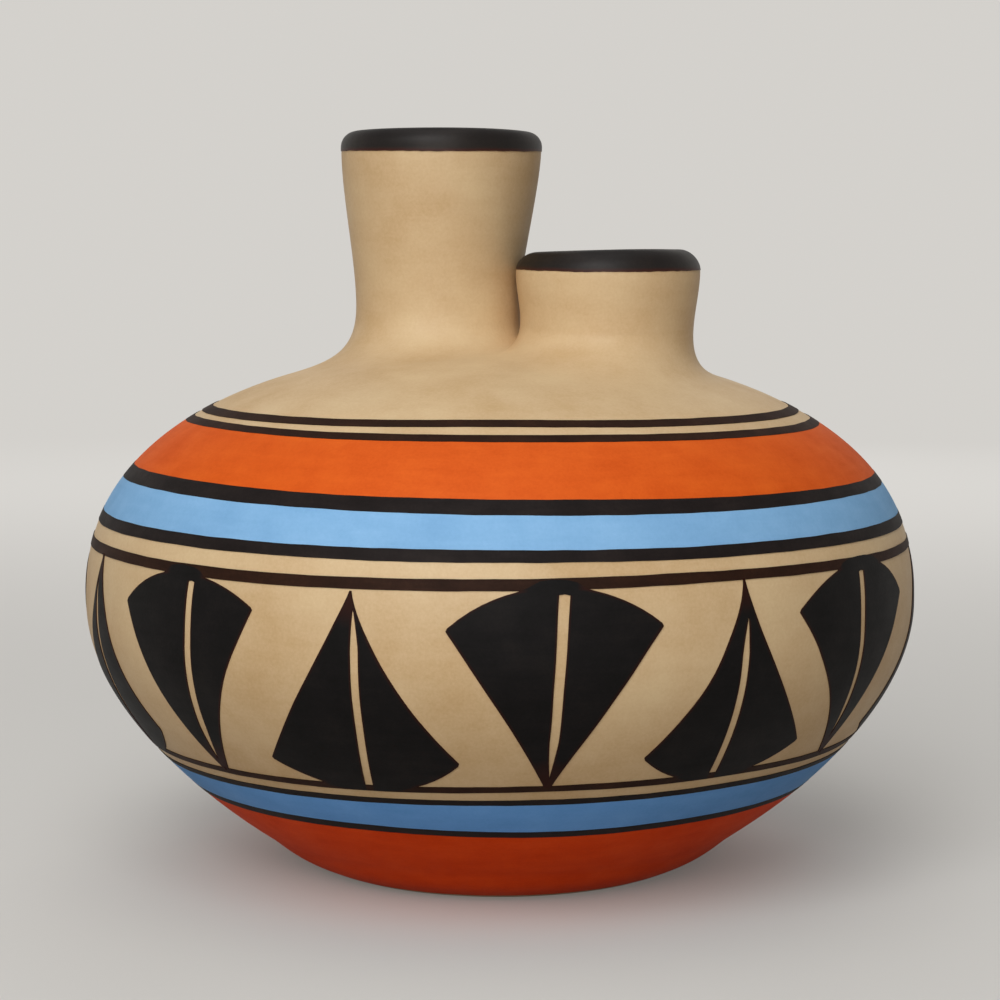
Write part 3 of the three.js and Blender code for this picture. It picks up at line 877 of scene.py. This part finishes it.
def add_fan(number):
    bm = fan_half(number, 1)
    other = fan_half(number, -1)
    mesh = bpy.data.meshes.new("fan_half")
    other.to_mesh(mesh)
    other.free()
    bm.from_mesh(mesh)
    bpy.data.meshes.remove(mesh)
    bmesh.ops.remove_doubles(bm, verts=bm.verts, dist=MERGE)
    bmesh.ops.recalc_face_normals(bm, faces=bm.faces)
    node = f"fan_{number:02d}"
    add_piece(node + "_slip", bm, BLACK_SLIP, "black_slip", node, thickness=FAN_LIFT - COAT_CLEAR)


# Rims

RIM_COAT_DEPTH = 4.0
RIM_COAT_TREMBLE = 0.5
RIM_COAT_SEED = 3.1
RIM_NECK = 4
RIM_LIFT = 0.15
RIM_ROWS = 34
RIM_BORDER_ROWS = 2


def add_rim(name, spout, drop, dip, left, depth):
    """Black slip over the lip.

    drop is how far it runs down the neck below the lip's rounding, dip how much more it does so in front,
    left how much less on the left, and depth how unsteady its edge is.
    """
    neck, outer, inner = spout_outline(spout)
    neck_end = Vector((spout["mouth"], neck[-1][1] - RIM_NECK, 0))
    outside = [neck_end] + [Vector((*point, 0)) for point in outer]
    inside = [Vector((*point, 0)) for point in inner[1:]]
    root = Vector((spout["bore"], 0, 0))

    def line_at(angle):
        """The coat's slice, from its edge on the neck over the lip into the mouth, in half rows."""
        in_front = (1 + cos(angle + pi / 2 - VIEW_ANGLE)) / 2
        level = neck[-1][1] - drop - dip * in_front ** 2 + left * max(0.0, -cos(angle))
        level -= hand_wobble(angle, spout["rise"], depth)
        first = next(i for i, point in enumerate(outside) if point.y > level)
        below, above = outside[first - 1], outside[first]
        start = below.lerp(above, (level - below.y) / (above.y - below.y))
        into_mouth = RIM_COAT_DEPTH + hand_wobble(angle, RIM_COAT_SEED, RIM_COAT_TREMBLE)
        end = inside[-1].lerp(root, into_mouth / inside[-1].y)
        return spaced([start] + outside[first:] + inside + [end], 2 * RIM_ROWS)

    lines = [line_at(2 * pi * i / SPOUT_COLUMNS) for i in range(SPOUT_COLUMNS)]

    def place(column, row):
        line = lines[column % SPOUT_COLUMNS]
        here = line[2 * row]
        ahead = line[min(2 * row + 1, 2 * RIM_ROWS)] - line[max(2 * row - 1, 0)]
        out = Vector((ahead.y, -ahead.x, 0)).normalized() * RIM_LIFT
        return around_spout(spout, 2 * pi * column / SPOUT_COLUMNS, here.x + out.x, here.y + out.y) * MM

    bm = sheet(SPOUT_COLUMNS, RIM_ROWS, place, lambda column, row: max(0.0, 1 - row / RIM_BORDER_ROWS))
    add_piece(name + "_slip", bm, RIM_BLACK, "black_slip", name, thickness=RIM_LIFT - COAT_CLEAR)


add_body()
add_spout("tall_spout", TALL)
add_spout("short_spout", SHORT)
add_rim("tall_rim_coat", TALL, drop=0.65, dip=1.4, left=0.0, depth=0.2)
add_rim("short_rim_coat", SHORT, drop=-0.6, dip=0.35, left=0.4, depth=0.2)
add_bands()
for fan_number in range(1, FAN_COUNT + 1):
    add_fan(fan_number)


# Studio

# The floor's colours: of its glow, as seen near and far from the vase, and as it throws light back
FLOOR_PALE = "#e6e3de"
FLOOR_SHADE = "#c8c6c2"
FLOOR_DIM = "#4a4a49"
FLOOR_DEEP = "#958c80"
# How far from the vase near turns into far, and how strongly the floor glows at each
FLOOR_NEAR = 150
FLOOR_FAR = 1100
NEAR_GLOW = 0.124
FAR_GLOW = 0.8
# The radius of the flat floor and of its sweep, and how high the backdrop goes
FLOOR_FLAT = 1500
FLOOR_SWEEP = 700
FLOOR_TOP = 1500
FLOOR_COLUMNS = 96
FLAT_RINGS = 10
SWEEP_RINGS = 12
LAMP_WIDTH = 900
LAMP_AIM = 90
WORLD_LIGHT = 0.34


def add_floor():
    """A pale floor that sweeps up all round into a pale backdrop.

    Only what is seen of it is so pale, because it would throw too much light back up at the vase; far off it
    glows evenly, so that the lamps leave no hot spots.
    """
    paper = bpy.data.materials.new("pale_paper")
    paper.use_nodes = True
    tree = paper.node_tree
    shader = tree.nodes["Principled BSDF"]
    shader.inputs["Roughness"].default_value = 0.9
    shader.inputs["Specular IOR Level"].default_value = 0.0
    rays = add_node(tree, "ShaderNodeLightPath").outputs
    seen = rays["Is Camera Ray"]
    for kind in ("Is Glossy Ray", "Is Transmission Ray"):
        either = add_node(tree, "ShaderNodeMath", {0: seen, 1: rays[kind]}, operation="MAXIMUM")
        seen = either.outputs["Value"]
    place = add_node(tree, "ShaderNodeTexCoord").outputs["Object"]
    distance = add_node(tree, "ShaderNodeVectorMath", {0: place}, operation="LENGTH").outputs["Value"]
    far = add_node(
        tree, "ShaderNodeMapRange",
        {
            "Value": distance, "From Min": FLOOR_NEAR * MM, "From Max": FLOOR_FAR * MM,
            "To Min": 0.0, "To Max": 1.0,
        },
        interpolation_type="SMOOTHSTEP",
    ).outputs["Result"]
    sockets = {MIX_SHARE: far, MIX_FROM: linear(FLOOR_SHADE), MIX_TO: linear(FLOOR_DIM)}
    shown = add_node(tree, "ShaderNodeMix", sockets, data_type="RGBA").outputs[MIX_RESULT]
    sockets = {MIX_SHARE: seen, MIX_FROM: linear(FLOOR_DEEP), MIX_TO: shown}
    colour = add_node(tree, "ShaderNodeMix", sockets, data_type="RGBA").outputs[MIX_RESULT]
    tree.links.new(colour, shader.inputs["Base Color"])
    level = add_node(
        tree, "ShaderNodeMix", {"Factor": far, "A": NEAR_GLOW, "B": FAR_GLOW}, data_type="FLOAT"
    ).outputs["Result"]
    glow = add_node(tree, "ShaderNodeMath", {0: seen, 1: level}, operation="MULTIPLY").outputs["Value"]
    shader.inputs["Emission Color"].default_value = linear(FLOOR_PALE)
    tree.links.new(glow, shader.inputs["Emission Strength"])
    profile = [(FLOOR_FLAT * i / FLAT_RINGS, 0.0) for i in range(FLAT_RINGS + 1)]
    for i in range(1, SWEEP_RINGS + 1):
        turn = pi / 2 * i / SWEEP_RINGS
        profile.append((FLOOR_FLAT + FLOOR_SWEEP * sin(turn), FLOOR_SWEEP - FLOOR_SWEEP * cos(turn)))
    profile.append((FLOOR_FLAT + FLOOR_SWEEP, FLOOR_TOP))
    bm = spun(profile, FLOOR_COLUMNS)
    bmesh.ops.reverse_faces(bm, faces=bm.faces)
    mesh = bpy.data.meshes.new("studio_floor")
    bm.to_mesh(mesh)
    bm.free()
    mesh.shade_smooth()
    mesh.materials.append(paper)
    floor = bpy.data.objects.new("studio_floor", mesh)
    bpy.context.collection.objects.link(floor)


def add_lamp(name, side, back, height, power):
    """A soft box aimed at the vase; side is to the camera's right and back is away from the camera."""
    lamp = bpy.data.lights.new(name, "AREA")
    lamp.shape = "DISK"
    lamp.size = LAMP_WIDTH * MM
    lamp.energy = power
    holder = bpy.data.objects.new(name, lamp)
    right = Vector((cos(VIEW_ANGLE), sin(VIEW_ANGLE), 0))
    away = Vector((-sin(VIEW_ANGLE), cos(VIEW_ANGLE), 0))
    holder.location = (right * side + away * back + Vector((0, 0, height))) * MM
    aim = Vector((0, 0, LAMP_AIM)) * MM - holder.location
    holder.rotation_euler = aim.to_track_quat("-Z", "Y").to_euler()
    bpy.context.collection.objects.link(holder)
    return holder


def add_camera():
    camera = bpy.data.cameras.new("camera")
    camera.lens = LENS
    camera.sensor_width = SENSOR
    camera.clip_start = NEAREST * MM
    holder = bpy.data.objects.new("camera", camera)
    away = Vector((-sin(VIEW_ANGLE), cos(VIEW_ANGLE), 0))
    holder.location = (-away * VIEW_DISTANCE + Vector((0, 0, VIEW_HEIGHT))) * MM
    holder.rotation_euler = (pi / 2 - VIEW_PITCH, 0, VIEW_ANGLE)
    bpy.context.collection.objects.link(holder)
    bpy.context.scene.camera = holder


add_floor()
add_camera()
add_lamp("key_softbox", side=-500, back=-1000, height=700, power=4.5)
add_lamp("front_softbox", side=-150, back=-900, height=1000, power=5.35)
add_lamp("fill_softbox", side=-50, back=-1150, height=250, power=4.2)
add_lamp("top_softbox", side=-100, back=-100, height=1300, power=1.8)
back_lamp = add_lamp("back_softbox", side=100, back=1150, height=600, power=4.4)
back_lamp.visible_glossy = False
world = bpy.data.worlds.new("studio")
bpy.context.scene.world = world
world.use_nodes = True
sky = world.node_tree.nodes["Background"]
sky.inputs["Color"].default_value = (1, 1, 1, 1)
sky.inputs["Strength"].default_value = WORLD_LIGHT
bpy.context.scene.view_settings.view_transform = "Standard"
